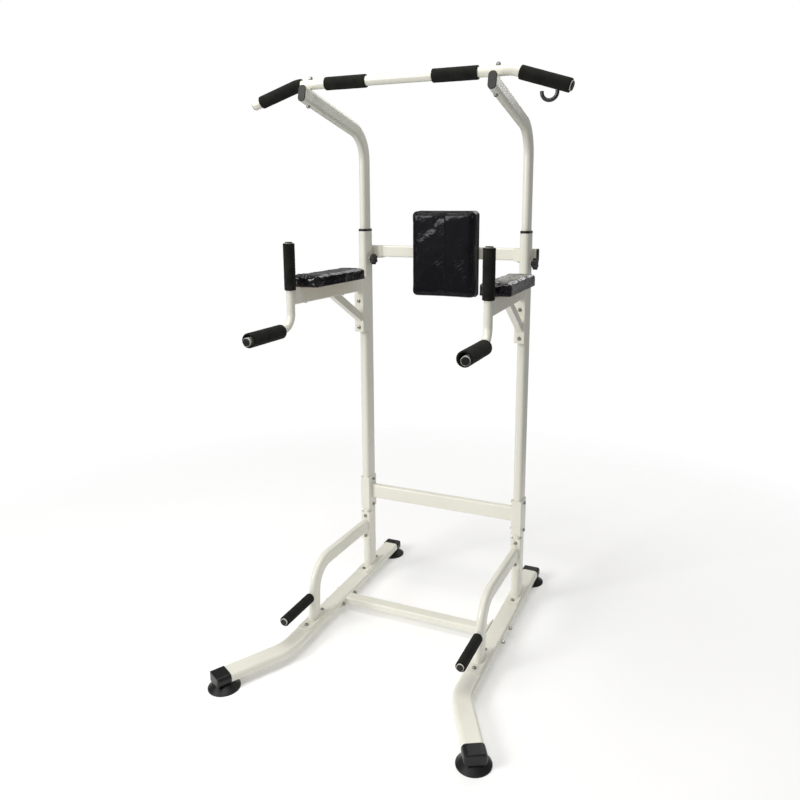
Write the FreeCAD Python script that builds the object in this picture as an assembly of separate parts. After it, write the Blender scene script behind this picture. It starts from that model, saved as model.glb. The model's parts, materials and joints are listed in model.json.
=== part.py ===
import FreeCAD, Part
import math
import os

# Free-standing power tower: pull-up bar, dip arms with elbow pads, back pad and
# push-up grips on a two-rail base.  Millimetres, +Z up, the user stands on the
# -Y side.  The origin is on the floor, in the middle of the base's length and
# width.  "forward" distances run from the upright's axis towards -Y.

# ---------------------------------------------------------------- driving sizes
upright_spacing = 580.0         # between the two upright axes
upright_top = 1317.0            # top end of the upright tube
front_foot_forward = 769.0      # upright axis to the front feet's centre
rear_foot_back = 198.0          # upright axis to the rear feet's centre
foot_radius = 48.0              # round rubber sole
mast_travel = 300.0             # height range of the pull-up bar
mast_settings = 6               # heights the bar can be set to, lowest included

upright_x = upright_spacing / 2
upright_y = (front_foot_forward - rear_foot_back) / 2   # centres the base on Y = 0

# ---------------------------------------------------------------- tube stock
big_width, big_depth, big_radius = 30.0, 60.0, 12.0     # base rails and uprights
big_wall = 1.5
oval_width, oval_depth, oval_radius = 25.0, 50.0, 12.4  # mast arms and curved braces
oval_wall = 1.5
bar_radius = 14.0               # pull-up bar
handle_radius = 12.5            # bent dip handles
push_up_radius = 11.0
round_wall = 1.5
plate = 3.0                     # bracket steel
touch_gap = 0.1                 # between curved faces that only touch
running_gap = 0.08              # between the clamp screw and its hole
slide_gap = 0.3                 # between the mast and what guides it

# ---------------------------------------------------------------- base
rail_bottom = 21.0
rail_z = rail_bottom + big_width / 2
rail_top = rail_bottom + big_width
rail_bend_forward = 583.0
rail_bend_radius = 150.0
front_foot_x = 391.0
rail_in_foot = 20.0             # how far the tube runs past the foot's centre
deck = rail_top + plate         # top of the plates that stand on the rails

bottom_bar_forward = 235.0
bottom_bar_depth, bottom_bar_height = 40.0, 25.0
flange_bolt_half = 42.0
flange_half = 52.0
flange_height = 23.0

# ---------------------------------------------------------------- uprights
foot_plate_width, foot_plate_half = 44.0, 75.0
foot_bolt_half = 52.0
nose_forward = big_depth / 2
bracket_inner = big_width + 2 * touch_gap
bracket_width = bracket_inner + 2 * plate

arm_web_forward = 55.0          # rear face of the arm bracket's web
arm_bolt_z = (982.0, 1076.0)
arm_bracket_bottom = 966.0

lock_z = 1219.5
boss_radius, boss_height = 9.0, 4.0
stud_radius = 5.0

# ---------------------------------------------------------------- crossbars
mid_bar_z = 353.5
mid_bar_depth, mid_bar_height = 25.0, 50.0
mid_sleeve_z = (289.0, 412.0)
mid_bolt_z = (298.0, 398.0)
upper_bar_z = 1245.5
upper_bar_depth, upper_bar_height = 25.0, 40.0
upper_bar_half = 316.0
upper_bolt_x = {-1: -290.0, 1: 254.0}      # by side
saddle_x = (242.0, 312.0)
bar_corner = 5.0

# ---------------------------------------------------------------- curved braces
brace_start_z = 222.0
brace_rise = 1.5                # degrees
brace_run = 286.0               # level distance to the bend
brace_bend_radius = 88.0
brace_lean = 4.0                # degrees the leg runs forwards on its way down
brace_bracket_z = (166.0, 274.0)
brace_bolt_z = (180.0, 260.0)
brace_bolt_half = 51.0
brace_plate_half = 72.0
push_up_z = 137.0
push_up_length = 161.0

# ---------------------------------------------------------------- dip arms
arm_splay = 3.0                 # degrees, outwards
pad_splay = 1.5                 # the elbow pads' own, smaller, angle
arm_width, arm_height, arm_corner = 25.0, 50.0, 4.0
strut_width = 20.0
arm_bottom = 1112.0
arm_top = arm_bottom + arm_height
handle_forward = 461.5
handle_top = 1297.0
upright_grip_bottom = 1156.0
handle_bend_top = 1086.0
handle_bend_radius = 45.0
handle_droop = 2.8              # degrees below level at the dip grip
handle_straight = 171.0
elbow_board = 6.0
elbow_pad_length, elbow_pad_width, elbow_pad_height = 311.0, 92.0, 30.0
elbow_pad_forward = 272.0       # its centre
elbow_pad_shift = 17.0          # both pads sit this far to the +X side of their arms
elbow_screw_half = 110.0
back_pad_width, back_pad_height, back_pad_depth = 231.0, 292.0, 44.0
back_pad_x = 8.0
back_pad_z = 1243.0
back_board = 10.0

# ---------------------------------------------------------------- mast
mast_bottom = 863.0
mast_bend_start = 1559.0
mast_bend_radius = 100.0
mast_rise = 12.8                # degrees above level in the forward run
mast_run = 325.0
bar_along = 285.0               # from the bend's end to the bar, along the arm
bar_bend_x = 331.0
bar_bend_radius = 80.0
bar_drop = 17.5                 # degrees
bar_tip_x = 489.5
grip_wall = 5.0
collar_lip = 8.0
collar_depth = 70.0
glide_length = 40.0


# ================================================================ helpers
def vec(x, y, z):
    return FreeCAD.Vector(x, y, z)


sides = {"left": -1, "right": 1}
out_x = vec(1, 0, 0)
out_front = vec(0, -1, 0)
out_up = vec(0, 0, 1)


def forward(distance):
    """Y of a point this far in front of the upright's axis."""
    return upright_y - distance


def box(x_range, y_range, z_range):
    """Box between two corners."""
    x0, x1 = sorted(x_range)
    y0, y1 = sorted(y_range)
    z0, z1 = sorted(z_range)
    return Part.makeBox(x1 - x0, y1 - y0, z1 - z0, vec(x0, y0, z0))


def rounded_outline(points, radii):
    """Closed wire through 2-D points, each corner rounded by its own radius."""
    edges = []
    starts = []
    ends = []
    mids = []
    count = len(points)
    corners = [vec(x, y, 0) for x, y in points]
    for i, corner in enumerate(corners):
        back = (corners[i - 1] - corner).normalize()
        ahead = (corners[(i + 1) % count] - corner).normalize()
        if radii[i] == 0:
            starts.append(corner)
            ends.append(corner)
            mids.append(None)
            continue
        half = back.getAngle(ahead) / 2
        reach = radii[i] / math.tan(half)
        centre = corner + (back + ahead).normalize() * (radii[i] / math.sin(half))
        starts.append(corner + back * reach)
        ends.append(corner + ahead * reach)
        mids.append(centre + (corner - centre).normalize() * radii[i])
    for i in range(count):
        if mids[i] is not None:
            edges.append(Part.Arc(starts[i], mids[i], ends[i]).toShape())
        following = starts[(i + 1) % count]
        if (following - ends[i]).Length > 1e-6:
            edges.append(Part.LineSegment(ends[i], following).toShape())
    return Part.Wire(edges)


def rounded_rectangle(width, height, radius):
    """Centred face in the XY plane."""
    w = width / 2
    h = height / 2
    points = [(-w, -h), (w, -h), (w, h), (-w, h)]
    return Part.Face(rounded_outline(points, [radius] * 4))


def tube_faces(width, height, radius, wall):
    """Outer face and bore face of a rounded rectangular tube."""
    inner_radius = max(radius - wall, 0.5)
    return [rounded_rectangle(width, height, radius),
            rounded_rectangle(width - 2 * wall, height - 2 * wall, inner_radius)]


def ring_faces(radius, wall):
    """Outer face and bore face of a round tube."""
    return [Part.Face(Part.Wire(Part.makeCircle(r))) for r in (radius, radius - wall)]


def placement(origin, z_axis, x_axis):
    """Placement that sends local Z and X to the given directions."""
    z_dir = FreeCAD.Vector(z_axis).normalize()
    x_dir = FreeCAD.Vector(x_axis).normalize()
    y_dir = z_dir.cross(x_dir)
    rotation = FreeCAD.Rotation(x_dir, y_dir, z_dir, "ZXY")
    return FreeCAD.Placement(origin, rotation)


def sweep(face, start, steps):
    """Solid swept from a placement: numbers are straight runs, and
    (radius, degrees, side) turns towards a local side."""
    place = FreeCAD.Placement(start)
    pieces = []
    for step in steps:
        section = face.copy()
        section.Placement = place
        if isinstance(step, (int, float)):
            travel = place.Rotation.multVec(vec(0, 0, step))
            pieces.append(section.extrude(travel))
            place = FreeCAD.Placement(place.Base + travel, place.Rotation)
            continue
        radius, degrees, side = step
        axis = place.Rotation.multVec(vec(0, 0, 1).cross(vec(*side)))
        centre = place.Base + place.Rotation.multVec(vec(*side) * radius)
        pieces.append(section.revolve(centre, axis, degrees))
        turn = FreeCAD.Rotation(axis, degrees)
        base = centre + turn.multVec(place.Base - centre)
        place = FreeCAD.Placement(base, turn.multiply(place.Rotation))
    solid = pieces[0]
    if len(pieces) > 1:
        solid = pieces[0].fuse(pieces[1:]).removeSplitter()
    return solid, place


def swept_tube(faces, start, steps):
    """Hollow tube along a path, and the placement of its far end."""
    outer, end = sweep(faces[0], start, steps)
    bore, _ = sweep(faces[1], start, steps)
    return outer.cut(bore), end


def rod(start, direction, radius, length):
    return Part.makeCylinder(radius, length, start, direction)


def join(shapes):
    """One solid from touching shapes."""
    return shapes[0].fuse(shapes[1:]).removeSplitter()


def u_bracket(x, web_front, flange_back, z_range, inner):
    """Channel round the front of an upright: web in front, a flange each side."""
    half = inner / 2
    wide = half + plate
    points = [(-wide, web_front), (wide, web_front), (wide, flange_back), (half, flange_back),
              (half, web_front + plate), (-half, web_front + plate), (-half, flange_back),
              (-wide, flange_back)]
    radii = [4.0, 4.0, 0, 0, 0, 0, 0, 0]
    face = Part.Face(rounded_outline(points, radii))
    face.translate(vec(x, 0, z_range[0]))
    return face.extrude(vec(0, 0, z_range[1] - z_range[0]))


# ---------------------------------------------------------------- fasteners
def hexagon(centre, direction, across_flats, height):
    """Hexagonal prism standing on centre along direction."""
    corner = across_flats / math.sqrt(3)
    side = vec(0, 0, 1) if abs(direction.z) < 0.9 else vec(1, 0, 0)
    place = placement(centre, direction, side)
    points = []
    for i in range(6):
        angle = math.radians(60 * i)
        points.append(place.multVec(vec(corner * math.cos(angle), corner * math.sin(angle), 0)))
    face = Part.Face(Part.makePolygon(points + points[:1]))
    return face.extrude(FreeCAD.Vector(direction).normalize() * height)


def button_head(size):
    """Low domed head with a hex socket, standing on Z = 0."""
    height = 0.5 * size
    head = Part.makeCylinder(0.72 * size, height)
    rim = [e for e in head.Edges if all(v.Z > height - 0.1 for v in e.Vertexes)]
    head = head.makeFillet(0.35 * size, rim)
    return head.cut(hexagon(vec(0, 0, height / 2), vec(0, 0, 1), 0.6 * size, size))


def bolt(seat, outward, grip, size=8.0, nut=True):
    """Button-head bolt with washers: head on the seat, shank running inwards."""
    out = FreeCAD.Vector(outward).normalize()
    washer = 0.15 * size
    washer_radius = 0.8 * size
    tip = grip + (1.2 * size if nut else 0.0)
    side = out_up if abs(out.z) < 0.9 else out_x
    head = button_head(size)
    head.Placement = placement(seat + out * washer, out, side)
    pieces = [rod(seat, out, washer_radius, washer), head, rod(seat, -out, size / 2, tip)]
    if nut:
        far = seat - out * grip
        pieces.append(rod(far, -out, washer_radius, washer))
        pieces.append(hexagon(far - out * washer, -out, 1.4 * size, 0.75 * size))
    return join(pieces)


def drill(shape, bolts):
    """Clearance holes for (seat, outward, grip, size, nut) bolts."""
    for seat, outward, grip, size, nut in bolts:
        out = FreeCAD.Vector(outward).normalize()
        reach = grip + (1.5 * size if nut else 1.0)
        shape = shape.cut(rod(seat + out, -out, size / 2 + touch_gap, reach + 1.0))
    return shape


def foot_plate_bolts(side):
    """Bolts down through the upright's and the brace's plates and the rail."""
    x = side * upright_x
    places = [-foot_bolt_half, foot_bolt_half,
              brace_leg_forward - brace_bolt_half, brace_leg_forward + brace_bolt_half]
    return [(vec(x, forward(d), deck), out_up, deck - rail_bottom, 8.0, True) for d in places]


def flange_bolts(side):
    """Bolts through the bottom crossbar's flange and the rail, heads on the -X side."""
    flange_near = plate if side > 0 else 0.0
    seat_x = side * upright_x - big_depth / 2 - flange_near
    places = [bottom_bar_forward - flange_bolt_half, bottom_bar_forward + flange_bolt_half]
    return [(vec(seat_x, forward(d), rail_z), -out_x, big_depth + plate, 8.0, True)
            for d in places]


def sleeve_bolts(side):
    """Cross bolts of the mid crossbar's sleeves, heads on the +X side."""
    x = side * upright_x + bracket_width / 2
    return [(vec(x, upright_y, z), out_x, bracket_width, 8.0, True) for z in mid_bolt_z]


def brace_bolts(side):
    """Bolts from the front through the brace's bracket and the upright."""
    y = forward(nose_forward + plate)
    grip = big_depth + plate
    return [(vec(side * upright_x, y, z), out_front, grip, 8.0, True) for z in brace_bolt_z]


def arm_bolts(side):
    """Bolts from the front into the arm mounting block."""
    y = forward(arm_web_forward + plate)
    return [(vec(side * upright_x, y, z), out_front, 12.0, 8.0, False) for z in arm_bolt_z]


def saddle_bolts(side):
    """Bolt up through the saddle's ledge into a nut inside the upper crossbar."""
    y = upright_y + nose_forward + plate + upper_bar_depth / 2
    under = upper_bar_z - upper_bar_height / 2 - plate
    return [(vec(upper_bolt_x[side], y, under), -out_up, plate + big_wall, 6.0, True)]


def back_pad_bolts():
    """Bolts from behind through the upper crossbar into the pad's board."""
    y = upright_y + nose_forward + plate + upper_bar_depth
    grip = upper_bar_depth + 0.8 * back_board
    return [(vec(back_pad_x + dx, y, upper_bar_z), vec(0, 1, 0), grip, 6.0, False)
            for dx in (-60.0, 60.0)]


# ================================================================ base
def rail_tube(side):
    """Flat-lying rail, straight at the back and bent outwards in front."""
    rise = rail_bend_forward - front_foot_forward
    run = front_foot_x - upright_x
    angle = math.degrees(math.atan2(run, -rise))
    tangent = rail_bend_radius * math.tan(math.radians(angle / 2))
    start = placement(vec(side * upright_x, upright_y + rear_foot_back + rail_in_foot, rail_z),
                      out_front, vec(0, 0, 1))
    straight = rear_foot_back + rail_in_foot + rail_bend_forward - tangent
    outward = start.Rotation.inverted().multVec(vec(side, 0, 0))
    end_run = math.hypot(run, rise) - tangent + rail_in_foot
    steps = [straight, (rail_bend_radius, angle, tuple(outward)), end_run]
    faces = tube_faces(big_width, big_depth, big_radius, big_wall)
    solid, end = swept_tube(faces, start, steps)
    outer, _ = sweep(faces[0], start, steps)
    return solid, outer, angle


def base_rail(side):
    solid, _, _ = rail_tube(side)
    return drill(solid, foot_plate_bolts(side) + flange_bolts(side))


def foot_cap(nose):
    """Sleeve over the tube's end, its nose towards -Y and rounded on all sides."""
    back = 11.0
    width, height, corner = big_depth + 4.0, big_width + 3.0, 13.5
    start = placement(vec(0, back, rail_z), out_front, out_x)
    sleeve, _ = sweep(rounded_rectangle(width, height, corner), start, [back + nose])
    half = width / 2
    plan = Part.Face(rounded_outline([(-half, -nose), (half, -nose), (half, back), (-half, back)],
                                     [9.0, 9.0, 0, 0]))
    low, high = rail_z - height / 2, rail_z + height / 2
    profile = Part.Face(rounded_outline([(-nose, low), (back, low), (back, high), (-nose, high)],
                                        [3.0, 0, 0, 5.0]))
    profile.Placement = placement(vec(-half, 0, 0), out_x, vec(0, 1, 0))
    return sleeve.common(plan.extrude(vec(0, 0, 2 * high))).common(profile.extrude(vec(width, 0, 0)))


def rubber_foot(side, front):
    """Cap over the tube's end on a round conical sole."""
    _, tube, angle = rail_tube(side)
    x = front_foot_x if front else upright_x
    y = forward(front_foot_forward) if front else upright_y + rear_foot_back
    turn = side * angle if front else 180.0
    rim, neck_radius = 3.0, 26.0
    neck_top = rail_bottom - 1.0
    sole = Part.makeCylinder(foot_radius, rim)
    cone = Part.makeCone(foot_radius, neck_radius, neck_top - rim, vec(0, 0, rim))
    foot = join([foot_cap(32.0 if front else 22.5), sole, cone])
    foot.rotate(vec(0, 0, 0), vec(0, 0, 1), turn)
    foot.translate(vec(side * x, y, 0))
    return foot.cut(tube)


def bottom_crossbar():
    """Low tube between the rails with a bolting flange at each end."""
    half = upright_x - big_depth / 2
    y = forward(bottom_bar_forward)
    start = placement(vec(-half + plate, y, rail_z), out_x, vec(0, 0, 1))
    faces = tube_faces(bottom_bar_height, bottom_bar_depth, bar_corner, big_wall)
    solid, _ = swept_tube(faces, start, [2 * (half - plate)])
    pieces = [solid]
    for side in sides.values():
        inner = side * (half - plate)
        pieces.append(box((inner, side * half), (y - flange_half, y + flange_half),
                          (rail_z - flange_height / 2, rail_z + flange_height / 2)))
    solid = join(pieces)
    return drill(solid, flange_bolts(-1) + flange_bolts(1))


# ================================================================ uprights
def deck_plate(side, centre_forward, half_length):
    """Plate with rounded corners lying on the rail."""
    face = rounded_rectangle(foot_plate_width, 2 * half_length, 6.0)
    face.translate(vec(side * upright_x, forward(centre_forward), rail_top))
    return face.extrude(vec(0, 0, plate))


def arm_block(side):
    """Box section on the upright's front that carries the arm bracket."""
    width = bracket_inner - 2 * touch_gap
    x = side * upright_x
    outer = box((x - width / 2, x + width / 2), (forward(arm_web_forward), forward(nose_forward - 4)),
                (arm_bracket_bottom + 4, arm_top - 6))
    wall = 3.0
    bore = box((x - width / 2 + wall, x + width / 2 - wall),
               (forward(arm_web_forward - wall), forward(nose_forward)),
               (arm_bracket_bottom + 4, arm_top - 6))
    return outer.cut(bore)


def saddle(side):
    """Angle behind the upright: the upper crossbar's end rests on its ledge."""
    front = upright_y + nose_forward
    back = front + plate + upper_bar_depth
    top = upper_bar_z + upper_bar_height / 2
    bottom = upper_bar_z - upper_bar_height / 2
    x_range = (side * saddle_x[0], side * saddle_x[1])
    web = box(x_range, (front, front + plate), (bottom - plate, top))
    ledge = box(x_range, (front, back), (bottom - plate, bottom))
    return join([web, ledge])


def upright(side):
    """Tube with its foot plate, arm block, crossbar saddle and lock boss."""
    x = side * upright_x
    faces = tube_faces(big_width, big_depth, big_radius, big_wall)
    start = placement(vec(x, upright_y, deck), out_up, out_x)
    outer, _ = sweep(faces[0], start, [upright_top - deck])
    bore, _ = sweep(faces[1], start, [upright_top - deck])
    boss = rod(vec(x + big_width / 2 - 1.0, upright_y, lock_z), out_x, boss_radius, boss_height + 1.0)
    solid = join([outer, deck_plate(side, 0.0, foot_plate_half), arm_block(side), saddle(side), boss])
    solid = solid.cut(bore)
    solid = solid.cut(rod(vec(x, upright_y, lock_z), out_x, stud_radius + running_gap, 30.0))
    bolts = foot_plate_bolts(side) + sleeve_bolts(side) + brace_bolts(side)
    return drill(solid, bolts + arm_bolts(side) + saddle_bolts(side))


def collar(side):
    """Plastic guide bush in the upright's mouth, with a lip on top."""
    x = side * upright_x
    lip = rounded_rectangle(big_width + 1.0, big_depth + 1.0, big_radius + 0.5)
    neck = rounded_rectangle(big_width - 2 * big_wall - touch_gap, big_depth - 2 * big_wall - touch_gap,
                             big_radius - big_wall)
    hole = rounded_rectangle(oval_width + 2 * slide_gap, oval_depth + 2 * slide_gap,
                             oval_radius + slide_gap)
    lip = lip.extrude(vec(0, 0, collar_lip))
    top_edges = [e for e in lip.Edges if all(v.Z > collar_lip - 0.1 for v in e.Vertexes)]
    lip = lip.makeFillet(2.0, top_edges)
    neck = neck.extrude(vec(0, 0, -collar_depth))
    hole.translate(vec(0, 0, -collar_depth))
    bush = join([lip, neck]).cut(hole.extrude(vec(0, 0, collar_depth + collar_lip)))
    bush.translate(vec(x, upright_y, upright_top))
    return bush


# ================================================================ crossbars
def mid_crossbar():
    """Middle tube welded between two channels that wrap the uprights."""
    half = upright_x - bracket_width / 2
    start = placement(vec(-half, upright_y, mid_bar_z), out_x, vec(0, 1, 0))
    faces = tube_faces(mid_bar_depth, mid_bar_height, bar_corner, big_wall)
    tube, _ = swept_tube(faces, start, [2 * half])
    pieces = [tube]
    for side in sides.values():
        pieces.append(u_bracket(side * upright_x, forward(nose_forward + plate), upright_y + 24.0,
                                mid_sleeve_z, bracket_inner))
    return drill(join(pieces), sleeve_bolts(-1) + sleeve_bolts(1))


def upper_crossbar():
    """Tube behind the uprights that carries the back pad."""
    y = upright_y + nose_forward + plate + upper_bar_depth / 2
    start = placement(vec(-upper_bar_half, y, upper_bar_z), out_x, vec(0, 1, 0))
    faces = tube_faces(upper_bar_depth, upper_bar_height, bar_corner, big_wall)
    solid, _ = swept_tube(faces, start, [2 * upper_bar_half])
    return drill(solid, saddle_bolts(-1) + saddle_bolts(1) + back_pad_bolts())


def crossbar_end_cap(side):
    """Push-in plug with a thin domed head."""
    y = upright_y + nose_forward + plate + upper_bar_depth / 2
    start = placement(vec(side * upper_bar_half, y, upper_bar_z), vec(side, 0, 0), vec(0, 1, 0))
    outer, bore = tube_faces(upper_bar_depth, upper_bar_height, bar_corner, big_wall + touch_gap)
    head, _ = sweep(outer, start, [4.0])
    far = [e for e in head.Edges if all(abs(v.X) > upper_bar_half + 3.9 for v in e.Vertexes)]
    head = head.makeFillet(2.5, far)
    neck, _ = sweep(bore, start, [-18.0])
    return join([head, neck])


# ================================================================ curved braces
rise_angle = math.radians(brace_rise)
lean_angle = math.radians(brace_lean)
brace_turn = 90.0 + brace_rise - brace_lean
leg_top_forward = (nose_forward + plate + brace_run
                   + brace_bend_radius * (math.sin(rise_angle) + math.cos(lean_angle)))
leg_top_z = (brace_start_z + brace_run * math.tan(rise_angle)
             - brace_bend_radius * (math.cos(rise_angle) - math.sin(lean_angle)))


def leg_forward(z):
    """How far forward the brace's leg is at a height."""
    return leg_top_forward + (leg_top_z - z) * math.tan(lean_angle)


brace_leg_forward = leg_forward(deck)


def brace_path(side):
    """Start placement and steps of the brace tube, from inside the bracket to below the deck."""
    hidden = 12.0
    direction = vec(0, -math.cos(rise_angle), math.sin(rise_angle))
    entry = vec(side * upright_x, forward(nose_forward + plate), brace_start_z)
    start = placement(entry - direction * hidden, direction, out_x)
    down = start.Rotation.inverted().multVec(vec(0, -math.sin(rise_angle), -math.cos(rise_angle)))
    leg = (leg_top_z - rail_top) / math.cos(lean_angle)
    steps = [hidden + brace_run / math.cos(rise_angle), (brace_bend_radius, brace_turn, tuple(down)), leg]
    return start, steps


def curved_brace(side):
    """Bent oval tube with a channel on the upright and a plate on the rail."""
    faces = tube_faces(oval_width, oval_depth, oval_radius, oval_wall)
    tube, _ = swept_tube(faces, *brace_path(side))
    behind = box((-500, 500), (forward(nose_forward + plate), upright_y + 200), (0, 600))
    below = box((-500, 500), (forward(600), upright_y), (0, deck))
    tube = tube.cut(behind).cut(below)
    channel = u_bracket(side * upright_x, forward(nose_forward + plate), forward(6.0),
                        brace_bracket_z, bracket_inner)
    solid = join([tube, channel, deck_plate(side, brace_leg_forward, brace_plate_half)])
    return drill(solid, brace_bolts(side) + foot_plate_bolts(side))


def push_up_start(side):
    nose = forward(leg_forward(push_up_z) + oval_depth / 2)
    return placement(vec(side * upright_x, nose, push_up_z), out_front, out_x)


def push_up_bar(side):
    """Round stub that stands out in front of the brace's leg."""
    start = push_up_start(side)
    early = FreeCAD.Placement(start.Base + vec(0, 8.0, 0), start.Rotation)
    tube, _ = swept_tube(ring_faces(push_up_radius, round_wall), early, [push_up_length + 8.0])
    leg, _ = sweep(rounded_rectangle(oval_width, oval_depth, oval_radius), *brace_path(side))
    return tube.cut(leg)


# ================================================================ grips and plugs
def foam_sleeve(start, steps, radius):
    """Foam tube on a round bar."""
    outer = Part.Face(Part.Wire(Part.makeCircle(radius + grip_wall)))
    inner = Part.Face(Part.Wire(Part.makeCircle(radius + touch_gap)))
    solid, end = sweep(outer, start, steps)
    bore, _ = sweep(inner, start, steps)
    return solid.cut(bore)


def round_plug(place, radius):
    """Domed plug pushed into a round tube's end; place looks out of the tube."""
    bore = radius - round_wall - touch_gap
    head_radius = radius - 1.2
    head = Part.makeCylinder(head_radius, 3.0)
    rim = [e for e in head.Edges if all(v.Z > 2.9 for v in e.Vertexes)]
    head = head.makeFillet(2.0, rim)
    neck = Part.makeCylinder(bore, 16.0, vec(0, 0, -16.0))
    plug = join([head, neck])
    plug.Placement = place
    return plug


def moved(place, along):
    """The same placement, further along its own Z."""
    return FreeCAD.Placement(place.multVec(vec(0, 0, along)), place.Rotation)


# ================================================================ dip arms
def splayed(shape, side, angle=arm_splay):
    """Turn an arm piece outwards about the bracket and move it to its upright."""
    shape.rotate(vec(0, forward(arm_web_forward + plate), 0), vec(0, 0, 1), side * angle)
    shape.translate(vec(side * upright_x, 0, 0))
    return shape


def arm_strut():
    """Square tube from the arm's underside to the foot of the bracket."""
    web = forward(arm_web_forward + plate - 1.0)
    roof = arm_bottom + 1.0
    wall = round_wall
    low_back, high_back, high_front, low_front = 1004.0, 1034.0, 190.0, 240.0
    outline = [(web, low_back), (web, high_back), (forward(high_front), roof), (forward(low_front), roof)]
    hollow = [(web, low_back + wall), (web, high_back - wall),
              (forward(high_front + 2 * wall), roof), (forward(low_front - 2 * wall), roof)]
    solids = []
    for points, width in ((outline, strut_width), (hollow, strut_width - 2 * wall)):
        corners = [vec(-width / 2, y, z) for y, z in points]
        solids.append(Part.Face(Part.makePolygon(corners + corners[:1])).extrude(vec(width, 0, 0)))
    return solids[0].cut(solids[1])


def arm_tube():
    """Level tube of the arm, coped to the handle in front."""
    start = placement(vec(0, forward(arm_web_forward + plate - 1.5), (arm_bottom + arm_top) / 2),
                      out_front, out_x)
    faces = tube_faces(arm_width, arm_height, arm_corner, round_wall)
    length = handle_forward - arm_web_forward - plate + 1.5 - handle_radius / 3
    tube, _ = swept_tube(faces, start, [length])
    handle = rod(vec(0, forward(handle_forward), arm_bottom - 50), out_up, handle_radius, 200.0)
    return tube.cut(handle)


def elbow_screws(side):
    """Screws up through the arm tube into the pad's board."""
    screws = []
    for d in (elbow_pad_forward - elbow_screw_half, elbow_pad_forward + elbow_screw_half):
        swing = math.radians(arm_splay)
        reach = d - arm_web_forward - plate
        x = side * (upright_x + reach * math.sin(swing))
        y = forward(arm_web_forward + plate) - reach * math.cos(swing)
        screws.append((vec(x, y, arm_bottom), vec(0, 0, -1), arm_height + 0.8 * elbow_board, 6.0, False))
    return screws


def dip_arm(side):
    """Welded arm: bracket channel, level tube and strut."""
    channel = u_bracket(side * upright_x, forward(arm_web_forward + plate), forward(15.0),
                        (arm_bracket_bottom, arm_top), bracket_inner)
    solid = join([channel, splayed(arm_tube(), side), splayed(arm_strut(), side)])
    return drill(solid, arm_bolts(side) + elbow_screws(side))


def handle_path():
    """Local start and steps of the bent handle, from its top end down and forwards."""
    start = placement(vec(0, forward(handle_forward), handle_top), vec(0, 0, -1), out_x)
    side = start.Rotation.inverted().multVec(out_front)
    steps = [handle_top - handle_bend_top,
             (handle_bend_radius, 90.0 - handle_droop, tuple(side)), handle_straight]
    return start, steps


def dip_handle(side):
    """Round tube bent from the upright grip into the dip grip."""
    tube, _ = swept_tube(ring_faces(handle_radius, round_wall), *handle_path())
    return splayed(tube, side)


def upright_grip(side):
    """Foam down the handle's upright, slit where the arm tube meets the handle."""
    start, _ = handle_path()
    length = handle_top - 1.0 - upright_grip_bottom
    foam = foam_sleeve(moved(start, 1.0), [length], handle_radius)
    half = arm_width / 2 + touch_gap
    arm_end = box((-half, half), (forward(handle_forward), forward(handle_forward - 40.0)),
                  (arm_bottom, arm_top + touch_gap))
    return splayed(foam.cut(arm_end), side)


def dip_grip(side):
    start, steps = handle_path()
    _, bend_end = sweep(ring_faces(handle_radius, round_wall)[0], start, steps[:2])
    return splayed(foam_sleeve(moved(bend_end, 6.0), [handle_straight - 9.0], handle_radius), side)


def handle_plugs(side):
    """Plugs of one handle's two ends."""
    start, steps = handle_path()
    _, end = sweep(ring_faces(handle_radius, round_wall)[0], start, steps)
    top = placement(start.Base, out_up, out_x)
    return [splayed(round_plug(place, handle_radius), side) for place in (top, end)]


# ================================================================ pads
def cushion(length, width, height, corner, edge):
    """Plain block with rounded corners and a softened upper rim, on Z = 0."""
    face = rounded_rectangle(width, length, corner)
    solid = face.extrude(vec(0, 0, height))
    rim = [e for e in solid.Edges if all(v.Z > height - 0.1 for v in e.Vertexes)]
    return solid.makeFillet(edge, rim)


def elbow_pad(side):
    pad = cushion(elbow_pad_length, elbow_pad_width, elbow_pad_height, 14.0, 9.0)
    pad.translate(vec(elbow_pad_shift, forward(elbow_pad_forward), arm_top + elbow_board))
    return splayed(pad, side, pad_splay)


def elbow_pad_board(side):
    face = rounded_rectangle(elbow_pad_width - 12.0, elbow_pad_length - 12.0, 10.0)
    face.translate(vec(elbow_pad_shift, forward(elbow_pad_forward), arm_top))
    board = splayed(face.extrude(vec(0, 0, elbow_board)), side, pad_splay)
    return drill(board, elbow_screws(side))


def facing_front(shape):
    """Stand a piece made on Z = 0 up, its top towards the user."""
    shape.rotate(vec(0, 0, 0), vec(1, 0, 0), 90)
    return shape


def back_pad():
    pad = facing_front(cushion(back_pad_height, back_pad_width, back_pad_depth, 18.0, 12.0))
    y = upright_y + nose_forward + plate - back_board
    pad.translate(vec(back_pad_x, y, back_pad_z))
    return pad


def back_pad_board():
    face = rounded_rectangle(back_pad_width - 12.0, back_pad_height - 12.0, 14.0)
    board = facing_front(face.extrude(vec(0, 0, back_board)))
    board.translate(vec(back_pad_x, upright_y + nose_forward + plate, back_pad_z))
    return drill(board, back_pad_bolts())


# ================================================================ mast
def mast_path(side):
    """Start placement and steps of a mast arm, from its hidden lower end."""
    start = placement(vec(side * upright_x, upright_y, mast_bottom), out_up, out_x)
    front = start.Rotation.inverted().multVec(out_front)
    steps = [mast_bend_start - mast_bottom,
             (mast_bend_radius, 90.0 - mast_rise, tuple(front)), mast_run]
    return start, steps


def mast_forward_end(side):
    """Placement where the forward run leaves the bend."""
    start, steps = mast_path(side)
    _, place = sweep(rounded_rectangle(oval_width, oval_depth, oval_radius), start, steps[:2])
    return place


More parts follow.
